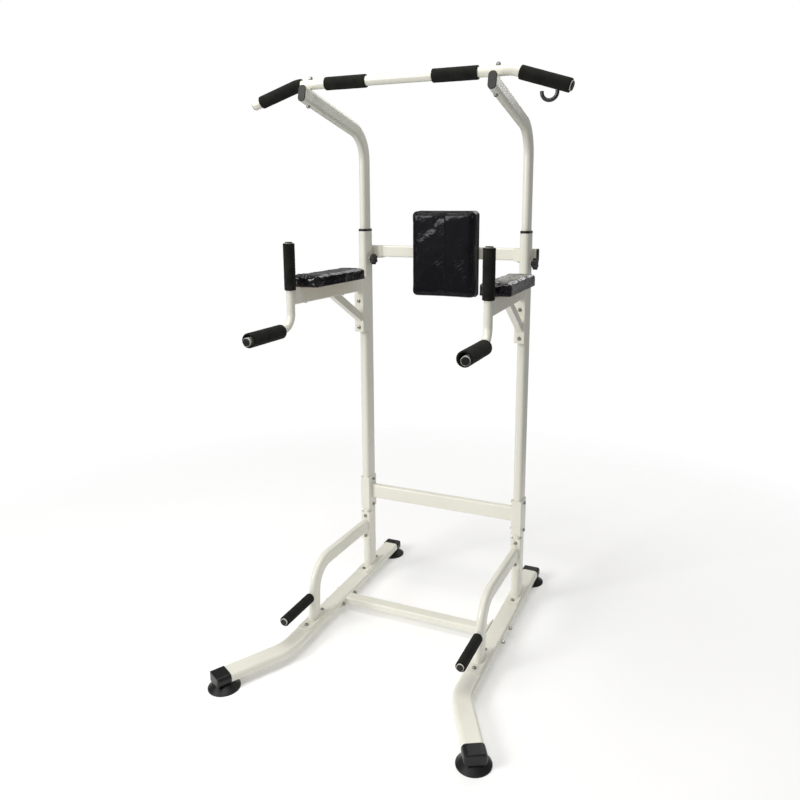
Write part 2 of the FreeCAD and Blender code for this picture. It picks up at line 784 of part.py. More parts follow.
def bar_bolts(side):
    """Bolt from under the arm up through the bar."""
    place = mast_forward_end(side)
    under = place.Rotation.multVec(vec(0, -1, 0))
    if under.z > 0:
        under = under * -1
    seat = place.multVec(vec(0, 0, bar_along)) + under * (oval_depth / 2)
    grip = oval_depth + 2 * bar_radius + touch_gap
    return [(seat, under, grip, 8.0, True)]


def mast_arm(side):
    """Oval tube that slides in the upright and bends forward under the bar.

    The height holes sit in its +X wall, one for each setting above the lowest."""
    faces = tube_faces(oval_width, oval_depth, oval_radius, oval_wall)
    solid, _ = swept_tube(faces, *mast_path(side))
    pitch = mast_travel / (mast_settings - 1)
    for i in range(1, mast_settings):
        hole = vec(side * upright_x, upright_y, lock_z - i * pitch)
        solid = solid.cut(rod(hole, out_x, stud_radius + 0.5, oval_width))
    return drill(solid, bar_bolts(side))


def mast_arm_plug(side):
    """Oval plug in the arm's front end."""
    start, steps = mast_path(side)
    _, end = sweep(rounded_rectangle(oval_width, oval_depth, oval_radius), start, steps)
    head = rounded_rectangle(oval_width - 1.0, oval_depth - 1.0, oval_radius - 0.5)
    neck = rounded_rectangle(oval_width - 2 * oval_wall - 0.2, oval_depth - 2 * oval_wall - 0.2,
                             oval_radius - oval_wall - 0.1)
    solid = join([head.extrude(vec(0, 0, 3.0)), neck.extrude(vec(0, 0, -18.0))])
    rim = [e for e in solid.Edges if all(v.Z > 2.9 for v in e.Vertexes)]
    solid = solid.makeFillet(1.5, rim)
    solid.Placement = end
    return solid


def mast_glide(side):
    """Plastic shoe on the mast arm's lower end, running in the upright."""
    wall_gap = big_wall + slide_gap
    outer = rounded_rectangle(big_width - 2 * wall_gap, big_depth - 2 * wall_gap, big_radius - wall_gap)
    hole = rounded_rectangle(oval_width + touch_gap, oval_depth + touch_gap, oval_radius)
    shoe = outer.extrude(vec(0, 0, glide_length))
    pocket = hole.extrude(vec(0, 0, glide_length))
    pocket.translate(vec(0, 0, plate))
    shoe = shoe.cut(pocket)
    shoe.translate(vec(side * upright_x, upright_y, mast_bottom - plate))
    return shoe


def bar_centre():
    """Middle of the pull-up bar."""
    place = mast_forward_end(1)
    (seat, under, _, _, _), = bar_bolts(1)
    centre = seat - under * (oval_depth + bar_radius + touch_gap)
    return vec(0, centre.y, centre.z)


def bar_start(x, side):
    """Placement on the bar's straight stretch, looking outwards."""
    centre = bar_centre()
    return placement(vec(side * x, centre.y, centre.z), vec(side, 0, 0), vec(0, 1, 0))


def bar_steps(x, side, end_trim):
    """Steps from x on the straight stretch round the bend to near the tip."""
    tangent = bar_bend_radius * math.tan(math.radians(bar_drop / 2))
    start = bar_start(x, side)
    down = start.Rotation.inverted().multVec(vec(0, 0, -1))
    tip_run = (bar_tip_x - bar_bend_x) / math.cos(math.radians(bar_drop)) - tangent
    return [bar_bend_x - tangent - x, (bar_bend_radius, bar_drop, tuple(down)), tip_run - end_trim]


def pull_up_bar():
    """Round bar with both ends bent down."""
    halves = []
    for side in sides.values():
        tube, _ = swept_tube(ring_faces(bar_radius, round_wall), bar_start(0, side), bar_steps(0, side, 0))
        halves.append(tube)
    bar = join(halves)
    return drill(bar, bar_bolts(-1) + bar_bolts(1))


def inner_bar_grip(side):
    return foam_sleeve(bar_start(103.0, side), [133.0], bar_radius)


def outer_bar_grip(side):
    """End grips: the left one sits over the bend, the right one reaches the tip."""
    if side < 0:
        first_x, end_trim = 318.0, 27.0
        return foam_sleeve(bar_start(first_x, side), bar_steps(first_x, side, end_trim), bar_radius)
    start = bar_start(0, side)
    _, bend_end = sweep(ring_faces(bar_radius, round_wall)[0], start, bar_steps(0, side, 0)[:2])
    solid = foam_sleeve(moved(bend_end, 10.0), [bar_steps(0, side, 12.0)[2]], bar_radius)
    return solid.cut(rod(hook_centre() + vec(hook_bend_radius, 0, 0), out_up, hook_rod + touch_gap, 60.0))


def bar_tip(side):
    start = bar_start(0, side)
    _, end = sweep(ring_faces(bar_radius, round_wall)[0], start, bar_steps(0, side, 0))
    return end


hook_rod = 5.2
hook_bend_radius = 20.5
hook_x = 452.0                  # its shank


def hook_centre():
    """Centre of the hook's curve."""
    return vec(hook_x - hook_bend_radius, bar_centre().y, bar_centre().z - 61.7)


def hook():
    """J-hook whose shank goes up through the foam to the bar's underside."""
    centre = hook_centre()
    top = bar_centre().z - (hook_x - bar_bend_x) * math.tan(math.radians(bar_drop)) - centre.z
    start = placement(centre + vec(hook_bend_radius, 0, top), vec(0, 0, -1), out_x)
    inwards = start.Rotation.inverted().multVec(vec(-1, 0, 0))
    face = Part.Face(Part.Wire(Part.makeCircle(hook_rod)))
    solid, _ = sweep(face, start, [top, (hook_bend_radius, 180.0, tuple(inwards)), 3.0])
    bar_solid, _ = sweep(Part.Face(Part.Wire(Part.makeCircle(bar_radius + 0.05))),
                         bar_start(0, 1), bar_steps(0, 1, 0))
    return solid.cut(bar_solid)


# ================================================================ locks
def lock_stud(side):
    """Clamp screw: its tip stops just short of the mast arm."""
    x = side * upright_x
    tip = x + oval_width / 2 + slide_gap
    return rod(vec(tip, upright_y, lock_z), out_x, stud_radius, big_width / 2 + 15.0 - oval_width / 2)


def lock_knob(side):
    """Six-lobed hand knob with a round hub, on the stud's outer end."""
    x = side * upright_x + big_width / 2 + boss_height + 0.5
    hub_length, head_length = 5.0, 14.0
    hub = Part.makeCylinder(8.5, hub_length)
    head_radius, lobe_radius = 14.5, 4.3
    head = Part.makeCylinder(head_radius, head_length, vec(0, 0, hub_length))
    lobes = [Part.makeCylinder(lobe_radius, head_length,
                               vec(head_radius * math.cos(math.radians(60 * i)),
                                   head_radius * math.sin(math.radians(60 * i)), hub_length))
             for i in range(6)]
    knob = join([hub, head] + lobes)
    knob.Placement = placement(vec(x, upright_y, lock_z), out_x, vec(0, 0, 1))
    stud = lock_stud(side)
    sleeve = rod(vec(side * upright_x, upright_y, lock_z), out_x, stud_radius + 0.05,
                 stud.BoundBox.XMax - side * upright_x + 0.05)
    return knob.cut(sleeve)


# ================================================================ nodes
def bolt_group(entries):
    """Separate solids, one per bolt."""
    return Part.makeCompound([bolt(*entry) for entry in entries])


def both(make):
    """The bolts of both sides."""
    return make(-1) + make(1)


nodes = {}
for name, side in sides.items():
    nodes[name + "_base_rail"] = base_rail(side)
    nodes["front_" + name + "_foot"] = rubber_foot(side, True)
    nodes["rear_" + name + "_foot"] = rubber_foot(side, False)
    nodes[name + "_upright"] = upright(side)
    nodes[name + "_collar"] = collar(side)
    nodes[name + "_curved_brace"] = curved_brace(side)
    nodes[name + "_push_up_bar"] = push_up_bar(side)
    nodes[name + "_push_up_grip"] = foam_sleeve(moved(push_up_start(side), 3.0),
                                                [push_up_length - 6.0], push_up_radius)
    nodes[name + "_dip_arm"] = dip_arm(side)
    nodes[name + "_dip_handle"] = dip_handle(side)
    nodes[name + "_upright_grip"] = upright_grip(side)
    nodes[name + "_dip_grip"] = dip_grip(side)
    nodes[name + "_elbow_pad"] = elbow_pad(side)
    nodes[name + "_elbow_pad_board"] = elbow_pad_board(side)
    nodes[name + "_mast_arm"] = mast_arm(side)
    nodes[name + "_inner_bar_grip"] = inner_bar_grip(side)
    nodes[name + "_outer_bar_grip"] = outer_bar_grip(side)
    nodes[name + "_lock_knob"] = lock_knob(side)
    nodes[name + "_lock_stud"] = lock_stud(side)

nodes["bottom_crossbar"] = bottom_crossbar()
nodes["mid_crossbar"] = mid_crossbar()
nodes["upper_crossbar"] = upper_crossbar()
nodes["crossbar_end_caps"] = Part.makeCompound([crossbar_end_cap(s) for s in sides.values()])
nodes["push_up_plugs"] = Part.makeCompound(
    [round_plug(moved(push_up_start(s), push_up_length), push_up_radius) for s in sides.values()])
nodes["handle_plugs"] = Part.makeCompound(handle_plugs(-1) + handle_plugs(1))
nodes["back_pad"] = back_pad()
nodes["back_pad_board"] = back_pad_board()
nodes["mast_arm_plugs"] = Part.makeCompound([mast_arm_plug(s) for s in sides.values()])
nodes["mast_glides"] = Part.makeCompound([mast_glide(s) for s in sides.values()])
nodes["pull_up_bar"] = pull_up_bar()
nodes["bar_end_plugs"] = Part.makeCompound([round_plug(bar_tip(s), bar_radius) for s in sides.values()])
nodes["accessory_hook"] = hook()
nodes["bar_bolts"] = bolt_group(both(bar_bolts))
nodes["base_bolts"] = bolt_group(both(foot_plate_bolts) + both(flange_bolts))
nodes["sleeve_bolts"] = bolt_group(both(sleeve_bolts))
nodes["brace_bolts"] = bolt_group(both(brace_bolts))
nodes["arm_bolts"] = bolt_group(both(arm_bolts))
nodes["upper_crossbar_bolts"] = bolt_group(both(saddle_bolts))
nodes["pad_screws"] = bolt_group(both(elbow_screws) + back_pad_bolts())

os.makedirs("parts", exist_ok=True)
for name, shape in nodes.items():
    shape.exportStep(os.path.join("parts", name + ".step"))
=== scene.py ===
import json
import math

import bmesh
import bpy
from mathutils import Matrix, Vector, noise
from mathutils.bvhtree import BVHTree


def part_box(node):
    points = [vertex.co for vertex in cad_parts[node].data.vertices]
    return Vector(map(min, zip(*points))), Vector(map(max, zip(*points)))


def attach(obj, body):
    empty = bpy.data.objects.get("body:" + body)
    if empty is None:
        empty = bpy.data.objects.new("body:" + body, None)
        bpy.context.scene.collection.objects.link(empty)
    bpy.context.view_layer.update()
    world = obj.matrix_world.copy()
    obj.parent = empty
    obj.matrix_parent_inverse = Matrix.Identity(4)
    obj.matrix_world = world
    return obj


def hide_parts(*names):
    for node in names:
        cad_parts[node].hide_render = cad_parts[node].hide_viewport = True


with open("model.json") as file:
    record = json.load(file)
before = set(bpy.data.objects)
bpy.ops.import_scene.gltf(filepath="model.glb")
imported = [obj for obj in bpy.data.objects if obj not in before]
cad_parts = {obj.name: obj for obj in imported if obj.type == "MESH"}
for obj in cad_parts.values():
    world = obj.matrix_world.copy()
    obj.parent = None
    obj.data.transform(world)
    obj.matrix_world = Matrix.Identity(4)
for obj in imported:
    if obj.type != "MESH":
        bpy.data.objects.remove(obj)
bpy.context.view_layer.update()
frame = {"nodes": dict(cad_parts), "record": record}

nodes = frame["nodes"]
MM = 0.001

# ---------------------------------------------------------------- sizes, metres
# The uprights stand at X = +-UPRIGHT_X, and UPRIGHT_Y is their place along Y.
UPRIGHT_X = 0.290
UPRIGHT_Y = (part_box("left_collar")[0].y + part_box("left_collar")[1].y) / 2
DECK_Z = 0.054                  # top of the plates on the rails
BRACE_LEG_FORWARD = 0.4155      # the curved brace's leg on its plate
CROSSBAR_Z = 0.3535             # middle of the mid crossbar
SLEEVE_HALF = 18.1 * MM         # half the width of its sleeves round the uprights
PAD_SPLAY = math.radians(1.5)
ELBOW_PAD_WIDTH = 0.092
ELBOW_PAD_LENGTH = 0.311
BAR_BEND_X = 0.331
BAR_BEND_RADIUS = 0.080
BAR_DROP = math.radians(17.5)
LEFT_GRIP_LENGTH = 0.1514       # outer bar grips, along the bar
RIGHT_GRIP_LENGTH = 0.1415
RIGHT_GRIP_GAP = 0.010          # bare bar between the bend and the right grip
FOAM_WALL = 4.9 * MM
FOAM_EDGE = 2.6 * MM            # rounding of the foam sleeves' ends
FOAM_RIPPLE = 0.22 * MM         # unevenness of their skin
SLEEVE_SIDES = 56
WRAP_GAP = 0.8 * MM             # the boards' backs stand this far out of the covers
CLOTH_FRAMES = 20
SIDES = {"left": -1, "right": 1}


# ================================================================ node helpers
class Shader:
    """A material's node tree with short calls to add and link nodes."""

    def __init__(self, name):
        self.material = bpy.data.materials.new(name)
        self.material.use_nodes = True
        self.tree = self.material.node_tree
        self.bsdf = self.tree.nodes["Principled BSDF"]
        self.coords = self.add("ShaderNodeTexCoord").outputs["Object"]

    def add(self, kind, **settings):
        node = self.tree.nodes.new(kind)
        for key, value in settings.items():
            setattr(node, key, value)
        return node

    def link(self, source, target):
        self.tree.links.new(source, target)

    def set(self, **values):
        """Constant sockets of the shader, with _ for spaces in their names."""
        for key, value in values.items():
            self.bsdf.inputs[key.replace("_", " ")].default_value = value

    def mapped(self, scale):
        """Object coordinates stretched by a scale for each axis."""
        mapping = self.add("ShaderNodeMapping")
        mapping.inputs["Scale"].default_value = scale
        self.link(self.coords, mapping.inputs["Vector"])
        return mapping.outputs["Vector"]

    def noise(self, scale, detail=3.0, roughness=0.5, distortion=0.0, vector=None):
        node = self.add("ShaderNodeTexNoise")
        node.inputs["Scale"].default_value = scale
        node.inputs["Detail"].default_value = detail
        node.inputs["Roughness"].default_value = roughness
        node.inputs["Distortion"].default_value = distortion
        self.link(vector or self.coords, node.inputs["Vector"])
        return node.outputs["Fac"]

    def cells(self, scale, feature="F1", vector=None):
        node = self.add("ShaderNodeTexVoronoi", feature=feature)
        node.inputs["Scale"].default_value = scale
        self.link(vector or self.coords, node.inputs["Vector"])
        return node.outputs["Distance"]

    def ramp(self, value, stops):
        """Colour ramp with (position, colour) stops."""
        node = self.add("ShaderNodeValToRGB")
        elements = node.color_ramp.elements
        while len(elements) < len(stops):
            elements.new(0.5)
        for element, (position, colour) in zip(elements, stops):
            element.position = position
            element.color = (*colour, 1.0)
        self.link(value, node.inputs["Fac"])
        return node.outputs["Color"]

    def span(self, value, low, high, source=(0.0, 1.0)):
        """Map a value's source range to low..high."""
        node = self.add("ShaderNodeMapRange")
        node.inputs["From Min"].default_value = source[0]
        node.inputs["From Max"].default_value = source[1]
        node.inputs["To Min"].default_value = low
        node.inputs["To Max"].default_value = high
        self.link(value, node.inputs["Value"])
        return node.outputs["Result"]

    def maths(self, operation, first, second):
        node = self.add("ShaderNodeMath", operation=operation)
        for socket, value in zip(node.inputs, (first, second)):
            if isinstance(value, (int, float)):
                socket.default_value = value
            else:
                self.link(value, socket)
        return node.outputs["Value"]

    def mix(self, factor, first, second):
        node = self.add("ShaderNodeMix", data_type="RGBA")
        self.link(factor, node.inputs["Factor"])
        for socket, value in ((node.inputs["A"], first), (node.inputs["B"], second)):
            if isinstance(value, tuple):
                socket.default_value = (*value, 1.0)
            else:
                self.link(value, socket)
        return node.outputs["Result"]

    def bump(self, height, distance, strength=1.0, below=None):
        node = self.add("ShaderNodeBump")
        node.inputs["Distance"].default_value = distance
        node.inputs["Strength"].default_value = strength
        self.link(height, node.inputs["Height"])
        if below is not None:
            self.link(below, node.inputs["Normal"])
        return node.outputs["Normal"]

    def colour(self, source):
        self.link(source, self.bsdf.inputs["Base Color"])

    def roughness(self, source):
        self.link(source, self.bsdf.inputs["Roughness"])

    def normal(self, source):
        self.link(source, self.bsdf.inputs["Normal"])


# ================================================================ materials
def powder_coat():
    """Glossy cream-white coat with orange peel and faint handling marks."""
    s = Shader("cream_powder_coat")
    cloud = s.noise(5.0, 3.0, 0.5)
    base = s.ramp(cloud, [(0.30, (0.765, 0.755, 0.665)), (0.70, (0.815, 0.800, 0.715))])
    speck = s.ramp(s.noise(190.0, 5.0, 0.7), [(0.70, (0.0, 0.0, 0.0)), (0.82, (1.0, 1.0, 1.0))])
    s.colour(s.mix(speck, base, (0.66, 0.64, 0.57)))
    scuff = s.noise(40.0, 5.0, 0.6)
    s.roughness(s.span(scuff, 0.27, 0.36, (0.3, 0.7)))
    peel = s.bump(s.noise(520.0, 2.0, 0.5), 0.00016, 0.55)
    s.normal(s.bump(s.noise(60.0, 2.0), 0.0005, 0.10, peel))
    s.set(Coat_Weight=0.25, Coat_Roughness=0.15, Specular_IOR_Level=0.45)
    return s.material


def foam():
    """Matt closed-cell foam: fine open pores, darkened as painted shade in their hollows, on a dark
    olive skin.
    """
    s = Shader("grip_foam")
    patch = s.noise(38.0, 4.0, 0.6)
    base = s.ramp(patch, [(0.30, (0.006, 0.0063, 0.005)), (0.70, (0.016, 0.0165, 0.0135))])
    pore = s.cells(1500.0)
    # Painted shade: the pores' hollows are darkened in the colour, as dark spots multiplied into the
    # skin
    dark = s.ramp(pore, [(0.05, (0.25, 0.25, 0.25)), (0.35, (1.0, 1.0, 1.0))])
    mix = s.add("ShaderNodeMix", data_type="RGBA", blend_type="MULTIPLY")
    mix.inputs["Factor"].default_value = 0.6
    s.link(base, mix.inputs["A"])
    s.link(dark, mix.inputs["B"])
    s.colour(mix.outputs["Result"])
    s.roughness(s.span(patch, 0.78, 0.96))
    pores = s.bump(pore, 0.0004, 0.7)
    s.normal(s.bump(s.noise(240.0, 4.0, 0.6), 0.0007, 0.45, pores))
    s.set(Sheen_Weight=0.03, Sheen_Roughness=0.6, Specular_IOR_Level=0.12)
    return s.material


def wrapped_vinyl(name, scale, tint, gloss, split_x=None):
    """Black grained vinyl under a loose clear film, which is the coat.

    The film is mostly taut: broad swells everywhere, sharp crinkles in patches,
    and calmer beyond split_x where the film's edge crosses the pad.  gloss is
    how much light the film throws back."""
    s = Shader(name)
    patch = s.noise(9.0 * scale, 5.0, 0.6, 0.8)
    s.colour(s.ramp(patch, [(0.35, (0.0020, 0.0020, 0.0032)), (0.62, tint),
                            (0.80, (0.0070, 0.0070, 0.0080))]))
    s.normal(s.bump(s.cells(900.0, "SMOOTH_F1"), 0.0002, 0.3))
    swell = s.noise(5.5 * scale, 2.0, 0.45, 0.9)
    crinkle = s.maths("ABSOLUTE", s.maths("SUBTRACT", s.noise(21.0 * scale, 4.0, 0.55, 1.8), 0.5), 0.0)
    crinkle = s.maths("MINIMUM", crinkle, 0.06)
    where = s.span(s.noise(4.0 * scale, 2.0, 0.5), 0.0, 1.0, (0.50, 0.66))
    height = s.maths("ADD", s.maths("MULTIPLY", swell, 1.3),
                     s.maths("MULTIPLY", s.maths("MULTIPLY", crinkle, where), -1.3))
    if split_x is not None:
        across = s.add("ShaderNodeSeparateXYZ")
        s.link(s.coords, across.inputs["Vector"])
        calm = s.span(across.outputs["X"], 1.0, 0.30, (split_x - 0.002, split_x + 0.002))
        height = s.maths("MULTIPLY", height, calm)
    film = s.bump(height, 0.012 / scale, 0.8)
    s.link(film, s.bsdf.inputs["Coat Normal"])
    s.roughness(s.span(patch, 0.40, 0.55))
    s.set(Coat_Weight=gloss, Coat_Roughness=0.13, Coat_IOR=1.42, Specular_IOR_Level=0.06)
    return s.material


def moulded(name, dark, light, rough, grain_scale, depth):
    """Moulded plastic or rubber with a fine eroded texture."""
    s = Shader(name)
    cloud = s.noise(30.0, 5.0, 0.6)
    s.colour(s.ramp(cloud, [(0.30, dark), (0.72, light)]))
    s.roughness(s.span(s.noise(70.0, 4.0), rough - 0.08, rough + 0.10))
    s.normal(s.bump(s.noise(grain_scale, 3.0, 0.6), depth, 0.6))
    s.set(Specular_IOR_Level=0.35)
    return s.material


def zinc():
    """Zinc-plated steel with a passivated mottle and fine turning marks."""
    s = Shader("zinc_plate")
    cloud = s.noise(95.0, 4.0, 0.6)
    s.colour(s.ramp(cloud, [(0.30, (0.24, 0.24, 0.22)), (0.55, (0.38, 0.38, 0.35)),
                            (0.75, (0.50, 0.49, 0.45))]))
    s.roughness(s.span(s.noise(210.0, 3.0), 0.24, 0.46))
    s.normal(s.bump(s.noise(900.0, 2.0), 0.0001, 0.4))
    s.set(Metallic=1.0)
    return s.material


def black_paint():
    """Thick glossy black paint with small runs."""
    s = Shader("black_paint")
    cloud = s.noise(45.0, 4.0, 0.6)
    s.colour(s.ramp(cloud, [(0.3, (0.008, 0.008, 0.008)), (0.7, (0.020, 0.019, 0.018))]))
    s.roughness(s.span(cloud, 0.28, 0.45))
    s.normal(s.bump(s.noise(130.0, 3.0), 0.0003, 0.4))
    s.set(Coat_Weight=0.4, Coat_Roughness=0.15)
    return s.material


def plywood():
    """Pale plywood: long grain with pores, seen only from behind and below."""
    s = Shader("plywood")
    grain = s.noise(26.0, 6.0, 0.6, 0.6, s.mapped((1.0, 1.0, 0.09)))
    s.colour(s.ramp(grain, [(0.30, (0.24, 0.15, 0.080)), (0.52, (0.40, 0.28, 0.165)),
                            (0.72, (0.50, 0.37, 0.24))]))
    s.roughness(s.span(grain, 0.55, 0.80))
    s.normal(s.bump(s.noise(420.0, 3.0, 0.6, 0.0, s.mapped((1.0, 1.0, 0.07))), 0.0003, 0.5))
    return s.material


paint = powder_coat()
foam_material = foam()
plastic = moulded("black_plastic", (0.0045, 0.0045, 0.005), (0.011, 0.011, 0.012), 0.42, 700.0, 0.00018)
plug_grey = moulded("dark_grey_plastic", (0.018, 0.018, 0.018), (0.036, 0.036, 0.036), 0.50,
                    600.0, 0.0002)
rubber = moulded("foot_rubber", (0.0035, 0.0035, 0.004), (0.010, 0.010, 0.011), 0.34, 480.0, 0.00022)
steel = zinc()
hook_material = black_paint()
wood = plywood()
film_back = wrapped_vinyl("film_wrapped_vinyl_back", 1.0, (0.0036, 0.0034, 0.0058), 0.33, 0.017)
film_arm = wrapped_vinyl("film_wrapped_vinyl_arm", 1.5, (0.0080, 0.0050, 0.0090), 1.0)

slot_materials = {
    "frame_paint": paint, "grip_foam": foam_material, "pad_vinyl": film_back, "pad_board": wood,
    "foot_rubber": rubber, "zinc_fasteners": steel, "knob_plastic": plastic,
    "black_plastic": plastic, "hook_paint": hook_material}
node_slots = {part["node"]: part["material_slot"] for part in frame["record"]["subparts"]}
for name, node in nodes.items():
    material = slot_materials[node_slots[name]]
    if name == "mast_arm_plugs":
        material = plug_grey
    node.data.materials.clear()
    node.data.materials.append(material)


# ================================================================ mesh helpers
def add_object(name, mesh, material, body):
    """Link a mesh as a shaded piece that rides on a body."""
    piece = bpy.data.objects.new(name, mesh)
    bpy.context.scene.collection.objects.link(piece)
    mesh.materials.clear()
    mesh.materials.append(material)
    mesh.polygons.foreach_set("use_smooth", [True] * len(mesh.polygons))
    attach(piece, body)
    return piece


def ring_strip(name, rings):
    """Closed skin through rings of equal count; the last ring joins the first."""
    mesh = bpy.data.meshes.new(name)
    count = len(rings[0])
    points = [point for ring in rings for point in ring]
    faces = []
    for i in range(len(rings)):
        a = i * count
        b = (i + 1) % len(rings) * count
        for j in range(count):
            k = (j + 1) % count
            faces.append((a + j, a + k, b + k, b + j))
    mesh.from_pydata(points, [], faces)
    mesh.update()
    return mesh


def normals_on(path, i):
    """Two normals of a polyline at a point."""
    before = path[max(i - 1, 0)]
    after = path[min(i + 1, len(path) - 1)]
    tangent = (after - before).normalized()
    side = Vector((0, 1, 0)) if abs(tangent.y) < 0.9 else Vector((0, 0, 1))
    first = side.cross(tangent).normalized()
    return first, tangent.cross(first)


def straight_axis(node):
    """Ends, outer radius and bore radius of a straight CAD sleeve."""
    points = [v.co.copy() for v in nodes[node].data.vertices]
    low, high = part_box(node)
    middle = (low + high) / 2
    size = high - low
    long_axis = max(range(3), key=lambda i: size[i])
    across = [size[i] for i in range(3) if i != long_axis]
    if abs(across[0] - across[1]) < 0.6 * MM:
        start = middle.copy()
        end = middle.copy()
        start[long_axis] = low[long_axis]
        end[long_axis] = high[long_axis]
        return start, end, across[0] / 2, across[0] / 2 - FOAM_WALL
    far = max(points, key=lambda p: (p - middle).length)
    rough_axis = (far - middle).normalized()
    for _ in range(3):
        along = [(p - middle).dot(rough_axis) for p in points]
        top = max(along)
        bottom = min(along)
        end = [p for p, a in zip(points, along) if a > top - 0.3 * (top - bottom)]
        start = [p for p, a in zip(points, along) if a < bottom + 0.3 * (top - bottom)]
        end_mid = sum(end, Vector()) / len(end)
        start_mid = sum(start, Vector()) / len(start)
        rough_axis = (end_mid - start_mid).normalized()
    along = [(p - start_mid).dot(rough_axis) for p in points]
    radii = [((p - start_mid) - rough_axis * a).length for p, a in zip(points, along)]
    return (start_mid + rough_axis * min(along), start_mid + rough_axis * max(along),
            max(radii), min(radii))


def rounded_ring(width, height, corner, pitch):
    """Evenly spaced points round a centred rounded rectangle."""
    corners = []
    for cx, cy, start in ((1, 1, 0), (-1, 1, 90), (-1, -1, 180), (1, -1, 270)):
        for i in range(7):
            angle = math.radians(start + 15 * i)
            corners.append(Vector((cx * (width / 2 - corner) + corner * math.cos(angle),
                                   cy * (height / 2 - corner) + corner * math.sin(angle))))
    points = []
    for a, b in zip(corners, corners[1:] + corners[:1]):
        count = max(1, round((b - a).length / pitch))
        for i in range(count):
            points.append(tuple(a + (b - a) * (i / count)))
    return points


def bead(name, path, radius, material, body, lump):
    """Closed round bead along a loop of points: a weld, or a piping cord."""
    sides = 8
    rings = []
    count = len(path)
    middle = sum(path, Vector()) / count
    normal = sum(((path[i] - middle).cross(path[(i + 1) % count] - middle) for i in range(count)),
                 Vector()).normalized()
    for i, point in enumerate(path):
        tangent = (path[(i + 1) % count] - path[i - 1]).normalized()
        outwards = tangent.cross(normal).normalized()
        upwards = outwards.cross(tangent)
        swell = radius * (1 + lump * noise.noise(point * 420.0))
        ring = []
        for j in range(sides):
            angle = 2 * math.pi * j / sides
            ring.append(point + (outwards * math.cos(angle) + upwards * math.sin(angle)) * swell)
        rings.append(ring)
    add_object(name, ring_strip(name, rings), material, body)


# ================================================================ foam grips
def foam_sleeve(name, node, body, path, outer, bore, seed):
    """Foam tube along a path: soft rounded ends and a slightly uneven skin."""
    total = sum((b - a).length for a, b in zip(path, path[1:]))
    profile = []
    steps = 5
    for i in range(steps + 1):
        angle = math.pi / 2 * i / steps
        profile.append((FOAM_EDGE * (1 - math.cos(angle)), FOAM_EDGE * (1 - math.sin(angle))))
    inner_edge = 0.8 * MM
    stations = [(inner_edge, outer - bore), (0.0, outer - bore - inner_edge)] + profile
    count = max(int(total / (3.0 * MM)), 8)
    inside = [(FOAM_EDGE + (total - 2 * FOAM_EDGE) * i / count, 0.0) for i in range(1, count)]
    ends = [(total - s, d) for s, d in reversed(stations)]
    stations = stations + inside + ends
    rings = []
    for s, depth in stations:
        rings.append(sleeve_ring(path, s, outer - depth, seed, depth < outer - bore - inner_edge))
    bore_back = [(total * (1 - i / 6.0), outer - bore) for i in range(1, 6)]
    for s, depth in bore_back:
        rings.append(sleeve_ring(path, s, outer - depth, seed, False))
    piece = add_object(name, ring_strip(name, rings), foam_material, body)
    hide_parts(node)


def sleeve_ring(path, distance, radius, seed, rippled):
    """Ring of points round the path at a distance along it."""
    remaining = distance
    for i, (a, b) in enumerate(zip(path, path[1:])):
        length = (b - a).length
        if remaining <= length or i == len(path) - 2:
            break
        remaining -= length
    share = remaining / length
    centre = a + (b - a) * share
    u0, v0 = normals_on(path, i)
    u1, v1 = normals_on(path, i + 1)
    u = (u0 * (1 - share) + u1 * share).normalized()
    v = (v0 * (1 - share) + v1 * share).normalized()
    ring = []
    for j in range(SLEEVE_SIDES):
        angle = 2 * math.pi * j / SLEEVE_SIDES
        direction = u * math.cos(angle) + v * math.sin(angle)
        point = centre + direction * radius
        if rippled:
            wave = noise.noise(point * 55.0 + Vector((seed, 0, 0)))
            fine = noise.noise(point * 330.0 + Vector((0, seed, 0)))
            point += direction * (wave + 0.55 * fine - 0.6) * FOAM_RIPPLE
        ring.append(point)
    return ring


def bent_bar_path(side, start_x, centre_y, centre_z, skip, length):
    """Bar centreline round the bend, from skip past a point on the straight stretch."""
    tangent = BAR_BEND_RADIUS * math.tan(BAR_DROP / 2)
    bend_start = BAR_BEND_X - tangent
    points = []
    steps = 60
    for i in range(steps + 1):
        s = skip + length * i / steps
        straight = bend_start - start_x
        if s <= straight:
            x = start_x + s
            z = centre_z
        elif s <= straight + BAR_BEND_RADIUS * BAR_DROP:
            turned = (s - straight) / BAR_BEND_RADIUS
            x = bend_start + BAR_BEND_RADIUS * math.sin(turned)
            z = centre_z - BAR_BEND_RADIUS * (1 - math.cos(turned))
        else:
            rest = s - straight - BAR_BEND_RADIUS * BAR_DROP
            x = bend_start + BAR_BEND_RADIUS * math.sin(BAR_DROP) + rest * math.cos(BAR_DROP)
            z = centre_z - BAR_BEND_RADIUS * (1 - math.cos(BAR_DROP)) - rest * math.sin(BAR_DROP)
        points.append(Vector((side * x, centre_y, z)))
    return points


